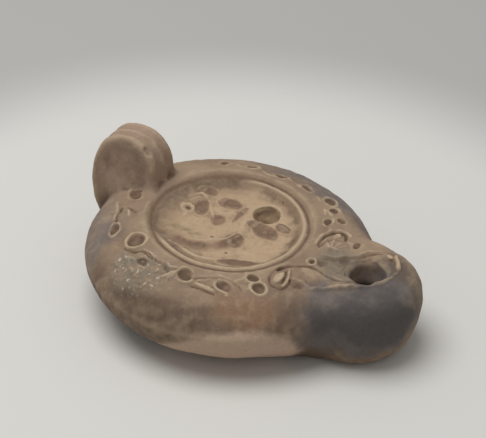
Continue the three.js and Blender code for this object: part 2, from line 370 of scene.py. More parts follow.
def handle_rings():
    outline = lug_outline()
    middle = np.array([(HANDLE_FRONT + HANDLE_BACK) / 2, 24.0])
    reach = (HANDLE_FRONT - HANDLE_BACK) / 2
    across_edge = np.linspace(0.40, -0.40, 33)
    edge = [(u, GROOVE * (0.5 - 0.5 * math.cos(2 * math.pi * u / GROOVE_APART))) for u in across_edge]
    section = CHEEK + edge + [(-u, inset) for u, inset in reversed(CHEEK)]
    rings = []
    for across, inset in section[::-1]:
        plan = middle + (outline - middle) * (1 - inset / reach)
        narrow = 1 - TAPER * smooth(plan[:, 1], 22, HANDLE_TOP)
        low_front = (1 - smooth(plan[:, 1], 20.5, 26.5)) * smooth(plan[:, 1], 12, 18)
        low_front = low_front * smooth(plan[:, 0], -37, -31)
        spread = 1 + SPREAD * low_front
        y = HANDLE_Y + across * HANDLE_THICK * narrow * spread
        rings.append(np.stack([plan[:, 0], y, plan[:, 1]], -1))
    return rings


handle = loft("handle", handle_rings())
print("handle points:", len(handle.data.vertices))

# %% [markdown]
# ## Reading and writing points as arrays
#
# Everything that presses, wears or paints the clay works on all points at once.

# %% Point arrays
def points_of(mesh):
    flat = np.empty(len(mesh.vertices) * 3)
    mesh.vertices.foreach_get("co", flat)
    return flat.reshape(-1, 3)


def set_points(mesh, points):
    mesh.vertices.foreach_set("co", points.ravel())
    mesh.update()


def normals_of(mesh):
    flat = np.empty(len(mesh.vertices) * 3, np.float32)
    mesh.vertex_normals.foreach_get("vector", flat)
    return flat.reshape(-1, 3).astype(float)


print("vessel spans, mm:", points_of(vessel.data).min(0).round(1), points_of(vessel.data).max(0).round(1))

# %% [markdown]
# ## The vine, by Geometry Nodes
#
# Round the shoulder runs a vine: a thin stem, and a ring for each grape or bud in its bends.
# What follows a path is best made by nodes: one tree turns a drawn path into a round stem, and
# another sets an oval ring on each of a few marked places, with its own size and turn. Each
# tree ends in real geometry, which is then fused with the vessel.

# %% Node tree helpers
def tree_with_inputs(name, sizes):
    tree = bpy.data.node_groups.new(name, "GeometryNodeTree")
    tree.interface.new_socket("Geometry", in_out="INPUT", socket_type="NodeSocketGeometry")
    for label, value in sizes.items():
        socket = tree.interface.new_socket(label, in_out="INPUT", socket_type="NodeSocketFloat")
        socket.default_value = value
    tree.interface.new_socket("Geometry", in_out="OUTPUT", socket_type="NodeSocketGeometry")
    return tree, tree.nodes.new("NodeGroupInput"), tree.nodes.new("NodeGroupOutput")


def finish_tree(tree, last, clay, output):
    """Real geometry and one material, which every tree here ends in."""
    real = tree.nodes.new("GeometryNodeRealizeInstances")
    paint = tree.nodes.new("GeometryNodeSetMaterial")
    paint.inputs["Material"].default_value = clay
    tree.links.new(last, real.inputs["Geometry"])
    tree.links.new(real.outputs["Geometry"], paint.inputs["Geometry"])
    tree.links.new(paint.outputs["Geometry"], output.inputs["Geometry"])


def grown(carrier, tree, sizes):
    """Runs a node tree on an object and returns the result as a plain mesh object."""
    modifier = carrier.modifiers.new(tree.name, "NODES")
    modifier.node_group = tree
    for item in tree.interface.items_tree:
        if item.in_out == "INPUT" and item.name in sizes:
            modifier[item.identifier] = float(sizes[item.name])
    graph = bpy.context.evaluated_depsgraph_get()
    mesh = bpy.data.meshes.new_from_object(carrier.evaluated_get(graph))
    made = bpy.data.objects.new(tree.name + "_result", mesh)
    bpy.context.scene.collection.objects.link(made)
    bpy.data.objects.remove(carrier)
    return made


clay_material = bpy.data.materials.new("fired_clay")
clay_material.use_nodes = True
print("material:", clay_material.name)

# %% A stem along a drawn path
def stem_tree():
    tree, start, end = tree_with_inputs("stems", {"Thickness": 0.5, "Step": 0.5})
    add, link = tree.nodes.new, tree.links.new
    to_curve = add("GeometryNodeMeshToCurve")
    even = add("GeometryNodeResampleCurve")
    even.mode = "LENGTH"
    section = add("GeometryNodeCurvePrimitiveCircle")
    section.inputs["Resolution"].default_value = 8
    tube = add("GeometryNodeCurveToMesh")
    tube.inputs["Fill Caps"].default_value = True
    link(start.outputs["Geometry"], to_curve.inputs["Mesh"])
    link(to_curve.outputs["Curve"], even.inputs["Curve"])
    link(start.outputs["Step"], even.inputs["Length"])
    link(start.outputs["Thickness"], section.inputs["Radius"])
    link(even.outputs["Curve"], tube.inputs["Curve"])
    link(section.outputs["Curve"], tube.inputs["Profile Curve"])
    finish_tree(tree, tube.outputs["Mesh"], clay_material, end)
    return tree


def smooth_path(points, count=30):
    """A smooth curve in plan through a few places."""
    points = np.array(points, float)
    if len(points) < 3:
        return np.linspace(points[0], points[-1], count)
    padded = np.vstack([2 * points[0] - points[1], points, 2 * points[-1] - points[-2]])
    steps = max(4, count // (len(points) - 1))
    plan = []
    for a, b, c, d in zip(padded, padded[1:], padded[2:], padded[3:]):
        for u in np.linspace(0, 1, steps, endpoint=False):
            bend = (2 * a - 5 * b + 4 * c - d) * u**2 + (3 * b - a - 3 * c + d) * u**3
            plan.append(0.5 * (2 * b + (c - a) * u + bend))
    return np.array(plan + [points[-1]])


def path_object(name, paths, sink):
    points, edges = [], []
    for path in paths:
        first = len(points)
        plan = smooth_path(path)
        heights = top_height(plan[:, 0], plan[:, 1]) - sink
        points += [(x, y, z) for (x, y), z in zip(plan, heights)]
        edges += [(i, i + 1) for i in range(first, len(points) - 1)]
    mesh = bpy.data.meshes.new(name)
    mesh.from_pydata(points, edges, [])
    made = bpy.data.objects.new(name, mesh)
    bpy.context.scene.collection.objects.link(made)
    return made


TURN = (0, 2 * math.pi)
SINK_WHERE_LOST = 0.34


def waves(x, y, size, seed, count=14):
    """Smooth noise over the plan, about -1 to 1, from waves of one size in fixed directions."""
    rng = np.random.default_rng(seed)
    total = np.zeros_like(np.asarray(x, float))
    for _ in range(count):
        angle, phase, scale = (rng.uniform(*span) for span in (TURN, TURN, (0.6, 1.5)))
        total += np.sin((x * math.cos(angle) + y * math.sin(angle)) * 2 * math.pi / (size * scale) + phase)
    return total / math.sqrt(count)


def wobble(x, y):
    """How far a worn line has strayed here from where it was drawn."""
    dx = 0.07 * waves(x, y, 3.6, 21) + 0.2 * waves(x, y, 9.0, 22)
    dy = 0.07 * waves(x, y, 3.6, 23) + 0.2 * waves(x, y, 9.0, 24)
    return dx, dy


def still_there(x, y):
    """How much of the relief is left here, from about a third to all of it."""
    return np.clip(0.78 + 0.34 * waves(x, y, 7.0, 25) + 0.2 * waves(x, y, 2.6, 26), 0.3, 1.15)


def worn_in(made):
    """Lets a grown piece stray and sink as the rest of the relief does."""
    points = points_of(made.data)
    x, y = points[:, 0].copy(), points[:, 1].copy()
    dx, dy = wobble(x, y)
    points[:, 2] += top_height(x - dx, y - dy) - top_height(x, y)
    points[:, 0] -= dx
    points[:, 1] -= dy
    points[:, 2] -= SINK_WHERE_LOST * (1 - still_there(x, y))
    set_points(made.data, points)
    return made


VINE_STEMS = [
    [(-12.2, -21.2), (-10, -22), (-7, -22.6), (-5, -23.1), (-3.6, -24.1)],
    [(-3.4, -24), (-1.8, -23.5), (-0.4, -22.7)],
    [(3, -23.6), (5.4, -22.4), (9, -20.7), (12.6, -20), (15, -20.4)],
    [(4.6, -24.2), (7, -22.6), (9.4, -21.4)],
    [(-24.2, -8.8), (-23.2, -10), (-22.3, -11.5)],
    [(-28.6, -6.8), (-27.2, -8.8), (-26.4, -11), (-25.4, -13.6)],
    [(12.4, -24.8), (14.6, -23.4), (15.4, -21.2), (16.4, -20.6)],
    [(17.6, -15.4), (19, -13.6), (19.2, -11)],
    [(13.4, -15.6), (14, -18), (13, -19.6)],
    [(9, 25.6), (12.4, 23.6), (15, 20.4), (17.6, 18), (18.6, 15.6)],
    [(19, 17.2), (21, 16), (22.6, 13.6), (22.4, 11)],
    [(20.4, 21.6), (22.4, 19), (24.4, 17)],
    [(-12, 24.4), (-9, 22.4), (-5, 24.6), (-1, 22.6), (3.6, 24.6), (8, 22.4)],
]
stem_paths = path_object("stem_paths", VINE_STEMS, 0.2)
stems = worn_in(grown(stem_paths, stem_tree(), {"Thickness": 0.5, "Step": 0.4}))
print("stem faces:", len(stems.data.polygons))

# %% An oval ring on each marked place
def ring_tree():
    tree, start, end = tree_with_inputs("rings", {"Thickness": 0.45})
    add, link = tree.nodes.new, tree.links.new
    circle = add("GeometryNodeCurvePrimitiveCircle")
    circle.inputs["Resolution"].default_value = 28
    circle.inputs["Radius"].default_value = 1.0
    section = add("GeometryNodeCurvePrimitiveCircle")
    section.inputs["Resolution"].default_value = 8
    size = add("GeometryNodeInputNamedAttribute")
    size.data_type = "FLOAT_VECTOR"
    size.inputs["Name"].default_value = "size"
    facing = add("GeometryNodeInputNamedAttribute")
    facing.data_type = "FLOAT_VECTOR"
    facing.inputs["Name"].default_value = "turn"
    to_points = add("GeometryNodeMeshToPoints")
    place = add("GeometryNodeInstanceOnPoints")
    tube = add("GeometryNodeCurveToMesh")
    real = add("GeometryNodeRealizeInstances")
    link(start.outputs["Geometry"], to_points.inputs["Mesh"])
    link(to_points.outputs["Points"], place.inputs["Points"])
    link(circle.outputs["Curve"], place.inputs["Instance"])
    link(size.outputs["Attribute"], place.inputs["Scale"])
    link(facing.outputs["Attribute"], place.inputs["Rotation"])
    link(place.outputs["Instances"], real.inputs["Geometry"])
    link(real.outputs["Geometry"], tube.inputs["Curve"])
    link(start.outputs["Thickness"], section.inputs["Radius"])
    link(section.outputs["Curve"], tube.inputs["Profile Curve"])
    finish_tree(tree, tube.outputs["Mesh"], clay_material, end)
    return tree


# Each ring: its place in plan, half length, half width, the turn of its length, and how plain
# it still shows, from 0 for almost gone to 1.
VINE_RINGS = [
    (-15.8, -19.2, 2.65, 2.5, 0.0, 1.0), (-26.0, -3.2, 2.5, 1.6, -0.45, 0.5),
    (-23.2, -17.2, 2.5, 1.3, -1.1, 0.6), (1.2, -24.3, 2.1, 2.0, 0.0, 0.7),
    (11.2, -22.8, 2.4, 1.7, 0.2, 0.8), (15.8, -17.0, 1.6, 1.4, 0.5, 0.7),
    (18.4, -19.2, 2.1, 1.8, 0.4, 0.8), (21.0, 13.2, 1.9, 1.3, 1.5, 0.8),
    (19.8, 19.2, 1.9, 1.3, 1.3, 0.7), (23.0, 16.7, 1.7, 1.4, -0.9, 0.6),
    (16.9, 22.8, 2.3, 1.9, -0.8, 0.7), (9.6, 24.0, 2.2, 1.6, -0.3, 0.6),
    (1.6, 24.6, 2.0, 1.5, 0.0, 0.6), (-6.4, 24.0, 2.0, 1.5, 0.3, 0.6),
    (-13.4, 22.0, 1.8, 1.5, 0.6, 0.5),
]


def marked_places(name, rings, sink):
    points = [(x, y, float(top_height(x, y)) - sink) for x, y, *_ in rings]
    made = new_object(name, points, [])
    size = made.data.attributes.new("size", "FLOAT_VECTOR", "POINT")
    facing = made.data.attributes.new("turn", "FLOAT_VECTOR", "POINT")
    away = 0.3
    for i, (x, y, a, b, angle, _) in enumerate(rings):
        falls = [float(top_height(x + dx, y + dy) - top_height(x - dx, y - dy)) / (2 * away)
                 for dx, dy in ((away, 0), (0, away))]
        lean = Matrix.Rotation(math.atan(falls[1]), 4, "X") @ Matrix.Rotation(-math.atan(falls[0]), 4, "Y")
        size.data[i].vector = (a, b, 1)
        facing.data[i].vector = (lean @ Matrix.Rotation(angle, 4, "Z")).to_euler()[:]
    return made


ring_places = marked_places("ring_places", VINE_RINGS, 0.16)
rings = worn_in(grown(ring_places, ring_tree(), {"Thickness": 0.5}))
print("ring faces:", len(rings.data.polygons))

# %% [markdown]
# ## One lump of clay
#
# The vessel, handle, stems and rings only overlap so far. Booleans join and pierce them, and a
# voxel remesh at about a third of a millimetre turns what is left into one even skin, as a
# mould does. Even faces matter: the relief is pressed into them next.

# %% Fuse, hollow and remesh
def joined(name, objects):
    base = objects[0]
    bpy.ops.object.select_all(action="DESELECT")
    for o in objects:
        o.select_set(True)
    bpy.context.view_layer.objects.active = base
    bpy.ops.object.join()
    base.name = name
    return base


def applied(obj, kind, **settings):
    modifier = obj.modifiers.new(kind.lower(), kind)
    for key, value in settings.items():
        setattr(modifier, key, value)
    graph = bpy.context.evaluated_depsgraph_get()
    mesh = bpy.data.meshes.new_from_object(obj.evaluated_get(graph))
    obj.modifiers.clear()
    obj.data = mesh
    return obj


def combine(base, others, operation):
    for other in others:
        applied(base, "BOOLEAN", object=other, operation=operation, solver="MANIFOLD")
        bpy.data.objects.remove(other)


VOXEL = 0.3
clay = vessel
combine(clay, [handle], "UNION")
combine(clay, [hollow], "DIFFERENCE")
combine(clay, burrs, "UNION")
combine(clay, holes, "DIFFERENCE")
clay = joined("lamp_clay", [clay, stems, rings])
applied(clay, "REMESH", mode="VOXEL", voxel_size=VOXEL)
print("remeshed points:", len(clay.data.vertices))

# %% [markdown]
# ## Softening
#
# A wet thumb evens clay out. Moving each point towards the mean of its neighbours does the
# same: lightly everywhere, and for longer where the handle springs and round the wick hole.

# %% Averages over neighbours
def neighbour_average(mesh):
    """A function that averages any value over each point's neighbours."""
    edges = np.empty(len(mesh.edges) * 2, int)
    mesh.edges.foreach_get("vertices", edges)
    a, b = edges.reshape(-1, 2).T
    count = len(mesh.vertices)
    degree = np.maximum(np.bincount(a, minlength=count) + np.bincount(b, minlength=count), 1)

    def average(values):
        columns = values.reshape(count, -1)
        out = np.empty_like(columns)
        for k in range(columns.shape[1]):
            col = columns[:, k]
            out[:, k] = np.bincount(a, col[b], count) + np.bincount(b, col[a], count)
        return (out / degree[:, None]).reshape(values.shape)

    return average


def softened(points, average, rounds, weight=1.0):
    weight = np.broadcast_to(np.asarray(weight, float), (len(points),))[:, None]
    for _ in range(rounds):
        points = points + 0.5 * weight * (average(points) - points)
    return points


average = neighbour_average(clay.data)
print("edges to average over:", len(clay.data.edges))

# %% Soften the whole skin, the handle's corner and the wick hole's mouth
points = points_of(clay.data)
x, y, z = points.T
beside = np.maximum(np.abs(y - HANDLE_Y) - HANDLE_THICK / 2, 0)
before = np.maximum(x - HANDLE_FRONT, 0)
near_corner = np.hypot(np.hypot(beside, before), np.maximum(np.abs(z - top_height(x, y)) - 1, 0))
corner = (1 - smooth(near_corner, 1.5, 5.0)) * (1 - smooth(x, -20, -17))
mouth = 1 - smooth(np.abs(np.hypot(x - WICK[0], y - WICK[1]) - WICK[2]), 0.6, 1.6)
mouth = mouth * smooth(z, 16, 18)
points = softened(points, average, 3)
points = softened(points, average, 42, np.maximum(corner, 0.8 * mouth))
set_points(clay.data, points)
print("points in the handle's corner:", int((corner > 0.5).sum()))

# %% [markdown]
# ## Relief as strokes
#
# The finer relief is a sum of simple strokes over the plan: a line along a path, or an oval
# with a soft edge. Each adds a height, and says how bare it leaves the clay, since ridges are
# rubbed clean, and how much soil or old slip stays on it, since low places keep it. The same
# strokes so serve twice: to press the clay now, and to colour it later. Each call gives a line's
# path and width, or an oval's place, half sizes and turn, and then height, bare and soil.

# %% Strokes
class Relief:
    """The strokes' sums at a set of places in plan."""

    def __init__(self, x, y):
        self.x, self.y = x, y
        self.height, self.bare, self.soil = (np.zeros_like(x) for _ in range(3))

    def put(self, here, amount, height, bare, soil):
        self.height[here] += height * amount
        self.bare[here] = np.maximum(self.bare[here], bare * amount)
        self.soil[here] = np.maximum(self.soil[here], soil * amount)

    def around(self, x0, x1, y0, y1):
        return np.nonzero((self.x > x0) & (self.x < x1) & (self.y > y0) & (self.y < y1))[0]

    def line(self, path, width, height=0.0, bare=0.0, soil=0.0):
        path, reach = smooth_path(path), width * 1.4
        span = [(path[:, k].min() - reach, path[:, k].max() + reach) for k in (0, 1)]
        here = self.around(*np.ravel(span))
        x, y = self.x[here], self.y[here]
        away = np.full(len(here), 1e9)
        for (ax, ay), (bx, by) in zip(path, path[1:]):
            dx, dy = bx - ax, by - ay
            u = np.clip(((x - ax) * dx + (y - ay) * dy) / max(dx * dx + dy * dy, 1e-9), 0, 1)
            away = np.minimum(away, np.hypot(x - ax - u * dx, y - ay - u * dy))
        self.put(here, np.exp(-((away / (width / 2)) ** 2)), height, bare, soil)

    def oval(self, cx, cy, a, b, angle=0.0, height=0.0, bare=0.0, soil=0.0, edge=0.35, rim=0.0):
        """A soft-edged mass or cell; with rim, only a band of that width along its outline."""
        reach = 1.8 * max(a, b)
        here = self.around(cx - reach, cx + reach, cy - reach, cy + reach)
        dx, dy = self.x[here] - cx, self.y[here] - cy
        u = (dx * math.cos(angle) + dy * math.sin(angle)) / a
        v = (-dx * math.sin(angle) + dy * math.cos(angle)) / b
        out = np.hypot(u, v)
        if rim:
            amount = np.exp(-(((out - 1) * min(a, b) / (rim / 2)) ** 2))
        else:
            amount = 1 - smooth(out, 1 - edge, 1 + edge * 0.6)
        self.put(here, amount, height, bare, soil)


# %% [markdown]
# ## The nozzle and its scrolls
#
# A flat channel runs from the shoulder to the wick hole, between a long scroll on the near side
# and one on the far side that opens like a small palm leaf. A thin lip goes round the hole.

# %% The channel, its edges and the wick hole's lip
def nozzle_strokes(r):
    inner_edge = [(19.3, -11.5), (21, -8.8), (22.8, -7.2), (24.8, -6.2), (26.6, -6), (28.5, -6.3),
                  (30.5, -6.9), (33, -7.1), (35, -6.7), (37, -5.5), (39.6, -3.6)]
    lower_edge = [(29, -12.2), (31.5, -11.3), (34, -9.9), (37, -8.3), (40, -6), (41.7, -4), (43, -1.5),
                  (44.1, 1), (44.5, 3.6), (43.9, 6.4), (42, 8.6)]
    far_edge = [(26.4, 0.2), (28.5, 1), (30, 1.9), (31.5, 3.2), (33, 5.2), (35, 7.1), (37.6, 9)]
    r.oval(31.5, -1.6, 5.6, 3.9, 0.05, -0.6, 0.0, 0.35, 0.3)
    r.oval(35, 2.6, 4.6, 3.6, 0.7, -0.5, 0.0, 0.3, 0.4)
    r.line([(23.6, -9), (26.6, -8.4), (30, -9), (33.4, -8.6), (37, -7)], 3.4, 0.42, 0.0, 0.3)
    r.line(inner_edge, 0.8, -0.42, 0.0, 0.9)
    r.line([(x - 0.2, y + 0.9) for x, y in inner_edge[4:]], 1.0, 0.1, 0.5)
    r.line(lower_edge, 1.1, 0.6, 1.0)
    r.line(far_edge, 0.9, 0.45, 0.8)
    r.line([(x + 0.5, y - 0.8) for x, y in far_edge], 0.7, -0.12, 0.0, 0.7)
    r.oval(33.2, -4.6, 3.0, 1.2, 0.1, 0.12, 0.7)
    for y in (-3.4, -2.2, -1.1, 0.1, 1.2):
        r.oval(35.0 + 0.2 * math.sin(5 * y), y, 0.45, 0.35, 0.3, 0.18, 1.0)


# %% The two scrolls, of which the far one opens like a small palm leaf
def scroll_strokes(r):
    eye = [(23.6, -12.2), (23.2, -14.6), (21.8, -16.1), (20.2, -16.1), (19.1, -14.4), (19.2, -11.8),
           (20.4, -9.6)]
    far_curl = [(23.6, 2.6), (23.1, 5.6), (23.4, 8.4), (24.3, 10.9), (25.8, 12.1), (27.2, 11), (27.9, 9)]
    r.line(eye, 0.8, -0.36, 0.0, 0.9)
    r.oval(20.9, -13.3, 0.95, 2.0, -0.2, 0.4, 1.0)
    r.line([(21.8, -9.6), (22.6, -11), (23, -12.6), (22.5, -14.6)], 0.8, 0.3, 0.9)
    r.line([(22.1, -14.2), (21.9, -12), (21.4, -10.4)], 0.5, -0.3, 0.0, 0.7)
    r.line([(24.2, -11.2), (26, -10.8), (28, -11.4), (29.4, -12.2)], 0.9, 0.2, 0.5)
    r.oval(25.4, -12.6, 1.6, 1.0, 0.2, -0.22, 0.0, 0.6)
    r.oval(24.8, -4.0, 1.3, 1.3, 0, 0.25, 0.8, 0.0, rim=0.8)
    r.oval(25.0, -3.9, 0.65, 0.65, 0, -0.3, 0.0, 0.9)
    r.line(far_curl, 0.8, -0.35, 0.0, 0.9)
    r.line([(22.8, 3), (22.3, 6), (22.6, 9), (23.6, 11.8), (25.8, 13.2), (27.8, 12.2)], 1.0, 0.28, 0.8)
    r.oval(25.3, 9.6, 0.8, 1.7, 0.0, 0.35, 0.9)
    r.line([(24.2, 2), (24.5, 5), (25.8, 7.6), (27.2, 8)], 0.7, -0.25, 0.0, 0.7)
    root_x, root_y = 26.9, 2.4
    for degrees in (128, 106, 84, 62, 40):
        c, s = math.cos(math.radians(degrees)), math.sin(math.radians(degrees))
        r.line([(root_x + away * c, root_y + away * s) for away in (1.2, 4.6)], 0.6, 0.3, 0.9)
    r.line([(27.6, 8.6), (29, 7.2), (30.4, 5.4)], 0.8, -0.2, 0.0, 0.5)
    r.oval(31.2, 8.6, 0.9, 1.7, 0.0, -0.4, 0.0, 0.8)


# %% [markdown]
# ## The shoulder
#
# Each ring of the vine holds a hollow cell with dirt in it, and its outline is rubbed pale. A
# few leaves, grooves and scars lie between the rings, and one stretch is broken.

# %% The shoulder
def shoulder_strokes(r):
    for cx, cy, a, b, angle, plain in VINE_RINGS:
        r.oval(cx, cy, a * 0.8, b * 0.8, angle, -0.34 * plain, 0.0, 0.55 + 0.4 * plain, 0.3)
        r.oval(cx, cy, a, b, angle, 0.06, 0.9 * plain, 0.0, rim=0.9)
    for path in VINE_STEMS:
        r.line(path, 0.9, 0.05, 0.7)
    broken = [(-17, -22), (-14, -22.6), (-12, -22), (-9, -22.9), (-6, -23.6), (-3.8, -24.8)]
    r.line(broken, 0.8, -0.3, 0.0, 0.9)
    r.line([(3.2, -24.3), (6, -23), (9, -21.5), (12, -20.8)], 0.5, -0.2, 0.0, 0.8)
    r.line([(12.6, -20.8), (14, -20.9), (15.2, -21.8)], 0.6, -0.22, 0.0, 0.9)
    r.oval(-1.9, -25.9, 1.6, 0.9, 0.8, 0.3, 0.9)
    r.oval(-3.2, -26.6, 1.4, 0.6, 0.9, 0.25, 0.9)
    r.line([(-3.6, -24.4), (-2.6, -26), (-1.6, -27.4)], 0.5, -0.25, 0.0, 0.8)
    r.oval(7, -25.4, 2.9, 0.7, -0.05, 0.28, 0.9)
    r.line([(4.2, -26.6), (7, -26.4), (10, -26.4)], 0.6, -0.2, 0.0, 0.8)
    r.line([(5, -24.7), (7, -24.8), (9, -24.7)], 0.4, -0.15, 0.0, 0.7)
    r.oval(-10.4, -24.7, 1.9, 1.1, -0.15, -0.42, 0.0, 1.0)
    r.oval(-14.2, -25.0, 1.8, 0.9, 0.1, 0.2, 0.8)
    r.line([(-24.7, -7.9), (-23, -9), (-21.7, -10)], 0.6, -0.24, 0.0, 0.9)
    r.line([(-26.2, -8.4), (-25.6, -11.6), (-24.4, -14.6)], 0.8, -0.26, 0.0, 0.8)
    r.oval(-25.7, -1.6, 0.9, 0.45, -0.4, -0.2, 0.0, 1.0)
    r.oval(41.6, 7.2, 0.8, 0.4, -0.9, -0.2, 0.0, 0.9)
    r.oval(40.3, 8.3, 1.1, 0.6, -0.4, 0.1, 0.9)


# %% [markdown]
# ## The picture in the disc
#
# Worn almost flat, it shows only low masses: a small figure leaning over a crescent of ground,
# with a limb and a fold or two. They are soft mounds with a few ridges on them.
# Old brown slip clings to the mounds, and the flat floor between them is bare.

# %% The picture
def picture_strokes(r):
    masses = [
        (-12.0, 10.6, 2.8, 1.6, 0.15), (-10.6, 4.2, 2.1, 3.4, 0.15), (-4.8, 9.2, 3.4, 2.2, 0.0),
        (-0.7, 6.4, 0.85, 4.0, -0.06), (-4.6, 1.8, 2.2, 2.2, 0.1), (4.6, 5.6, 2.6, 1.8, 0.3),
        (8.0, 3.6, 4.6, 2.6, -0.5), (11.6, 6.2, 2.8, 1.5, -0.25), (3.6, -3.4, 3.6, 2.4, -1.2),
        (17.0, 2.4, 1.0, 4.6, 0.12), (8.8, -12.0, 5.6, 1.7, 0.35),
    ]
    for cx, cy, a, b, angle in masses:
        r.oval(cx, cy, a, b, angle, 0.34, 0.0, 0.8, 0.3)
    r.line([(-8.4, -10.8), (-5, -11.2), (-1, -9.6), (1.6, -6.6), (3, -3.4)], 4.6, 0.34, 0.0, 0.75)
    r.line([(2.5, 0.6), (1.9, -2.2), (0.4, -4.6), (-2, -6.6), (-4.4, -8.1), (-7.6, -8.9)], 0.8, 0.22, 0.8)
    r.line([(-9.8, -13.4), (-6, -14.1), (-1.5, -14.6), (2, -14), (4.8, -12.8), (7.6, -10.6)], 0.9, 0.3, 1.0)
    r.line([(8, -10.2), (11, -9.2), (14, -8)], 1.0, 0.15, 0.6)
    r.oval(-13.4, 2.3, 1.4, 1.2, -0.9, 0.3, 1.0, 0.0, rim=0.8)
    r.oval(-13.4, 2.3, 0.6, 0.5, -0.9, -0.2, 0.0, 0.8)
    r.line([(-12.9, 0.6), (-12.4, -1)], 0.8, 0.25, 0.9)
    r.line([(-15.4, 6.2), (-13.2, 8.4), (-11.4, 8.4)], 0.7, 0.28, 0.9)
    r.line([(-14.6, 5.0), (-12.6, 7.4)], 0.5, 0.22, 0.8)
    r.line([(-10, 7.6), (-8, 5), (-6.2, 2.6), (-5, 0.2)], 0.7, 0.24, 0.8)
    r.line([(-6.6, 5.8), (-4.6, 5.2), (-2.4, 6.2)], 0.7, 0.2, 0.7)
    r.line([(1.0, 10.8), (1.3, 7), (2.0, 3), (2.6, 0.8)], 0.9, 0.1, 0.7)
    r.line([(-11.2, 0.2), (-9.4, -0.4), (-8, 0.4)], 0.6, 0.2, 0.8)
    r.line([(9.4, 8.2), (11.4, 8.1), (13.4, 7)], 0.5, -0.2, 0.0, 0.9)
    r.line([(1.6, 11), (3, 12.8), (5.4, 13.6), (7.8, 12.6), (9.2, 10.4)], 0.8, 0.15, 0.8)
    r.oval(-2.2, -4.9, 0.5, 0.4, 0, -0.3, 0.0, 1.0)
    r.oval(3.9, -9.2, 0.5, 0.35, 0, -0.25, 0.0, 1.0)
    r.oval(8.8, -6.6, 1.8, 0.9, 0.2, 0.05, 0.9)


SHOULDER_DEPTH, DISC_DEPTH = 1.45, 1.25


def all_strokes(x, y):
    """The whole relief at these places: height, bare and soil. The disc's ring parts the two
    sets of strokes, and neither crosses it."""
    dx, dy = wobble(x, y)
    off_disc, on_disc = Relief(x + dx, y + dy), Relief(x + dx, y + dy)
    for strokes in (nozzle_strokes, scroll_strokes, shoulder_strokes):
        strokes(off_disc)
    picture_strokes(on_disc)
    outside = smooth(np.hypot(x, y), 21.2, 22.2)
    inside = 1 - smooth(np.hypot(x, y), 17.2, 18.6)
    left = still_there(x, y)
    height = (SHOULDER_DEPTH * off_disc.height * outside + DISC_DEPTH * on_disc.height * inside) * left
    bare = (off_disc.bare * outside + on_disc.bare * inside) * left
    soil = (off_disc.soil * outside + on_disc.soil * inside) * mix(1, left, 0.5)
    return height, bare, soil


def top_skin(points, normals):
    """1 on the lamp's top, 0 on its other sides, inside, and on the handle."""
    x, y, z = points.T
    close = 1 - smooth(np.abs(z - top_height(x, y)), 1.0, 2.0)
    on_handle = (np.abs(y - HANDLE_Y) < HANDLE_THICK / 2 + 0.4) & (x < HANDLE_FRONT + 0.3)
    return np.where(on_handle, 0, close * smooth(normals[:, 2], 0.1, 0.45))


# %% [markdown]
# ## Pressing the relief in
#
# Each point of the lamp's top moves along its own normal by the strokes' height there.

# %% Press the relief in
normals = normals_of(clay.data)
skin = top_skin(points, normals)
on_top = np.nonzero(skin > 0)[0]
x, y, z = points.T
pressed = np.zeros(len(points))
pressed[on_top] = all_strokes(x[on_top], y[on_top])[0] * skin[on_top]
points = points + normals * pressed[:, None]
set_points(clay.data, points)
print("relief from %.2f to %.2f mm" % (pressed.min(), pressed.max()))

# %% [markdown]
# ## Wear
#
# Burial ate the surface unevenly: broad dents, a coarse pitted skin, a crust on the near
# shoulder, a chip out of the handle and small knocks on the rim. Noise made from a few fixed
# waves does for all of it.

# %% Wear
def wave_noise(points, size, seed, count=24):
    """Smooth noise between about -1 and 1, from waves of one size in fixed directions."""
    rng = np.random.default_rng(seed)
    total = np.zeros(len(points))
    for _ in range(count):
        direction = rng.normal(size=3)
        direction /= np.linalg.norm(direction)
        phase = rng.uniform(*TURN)
        scale = rng.uniform(0.7, 1.4)
        total += np.sin(points @ direction * (2 * math.pi / (size * scale)) + phase)
    return total / math.sqrt(count / 2) / 1.6


def egg(points, centre, reach, edge=0.5):
    """1 inside an egg-shaped space, 0 outside, with a soft edge."""
    out = np.linalg.norm((points - centre) / reach, axis=1)
    return 1 - smooth(out, 1 - edge, 1 + edge)


# Each chip: how deep, where, and how far it reaches.
CHIPS = [
    (0.7, (-24.6, 1.4, 34.0), (1.1, 0.9, 1.6)), (0.35, (-25.9, 4.4, 35.6), (1.6, 0.8, 1.2)),
    (0.3, (-30.5, 0.6, 35.3), (2.4, 0.7, 1.2)), (0.25, (-12.6, 24.6, 21.6), (2.2, 1.6, 1.2)),
]
normals = normals_of(clay.data)
coarse_wave = wave_noise(points, 1.5, 11)
broad = 0.12 * wave_noise(points, 12, 3) + 0.04 * wave_noise(points, 3.4, 5)
fine = 0.02 * wave_noise(points, 1.3, 7)
crust = egg(points, (-9.5, -27.0, 20.4), (8.5, 5.5, 4)) * np.maximum(coarse_wave, -0.5) * 0.2
rough_nozzle = egg(points, (43, -10.5, 14), (9, 8, 8)) * wave_noise(points, 1.6, 13) * 0.035
chips = sum(-deep * egg(points, centre, reach) for deep, centre, reach in CHIPS)
foot_flat = smooth(points[:, 2], 0.05, 1.2)
worn = (broad + fine) * foot_flat + crust + rough_nozzle + chips
points = points + normals * worn[:, None]
points = np.clip(points, low_mm, high_mm)
set_points(clay.data, points)
print("worn skin spans", points.min(0).round(2), points.max(0).round(2))

# %% [markdown]
# ## Fewer triangles, and marks for the painter
#
# Flat stretches need few triangles, so a collapse brings the count under the limit for one
# piece. The relief's bare and soiled places stay on the points as marks for the colours, with
# a third that says how far a spot stands proud of the skin round it.

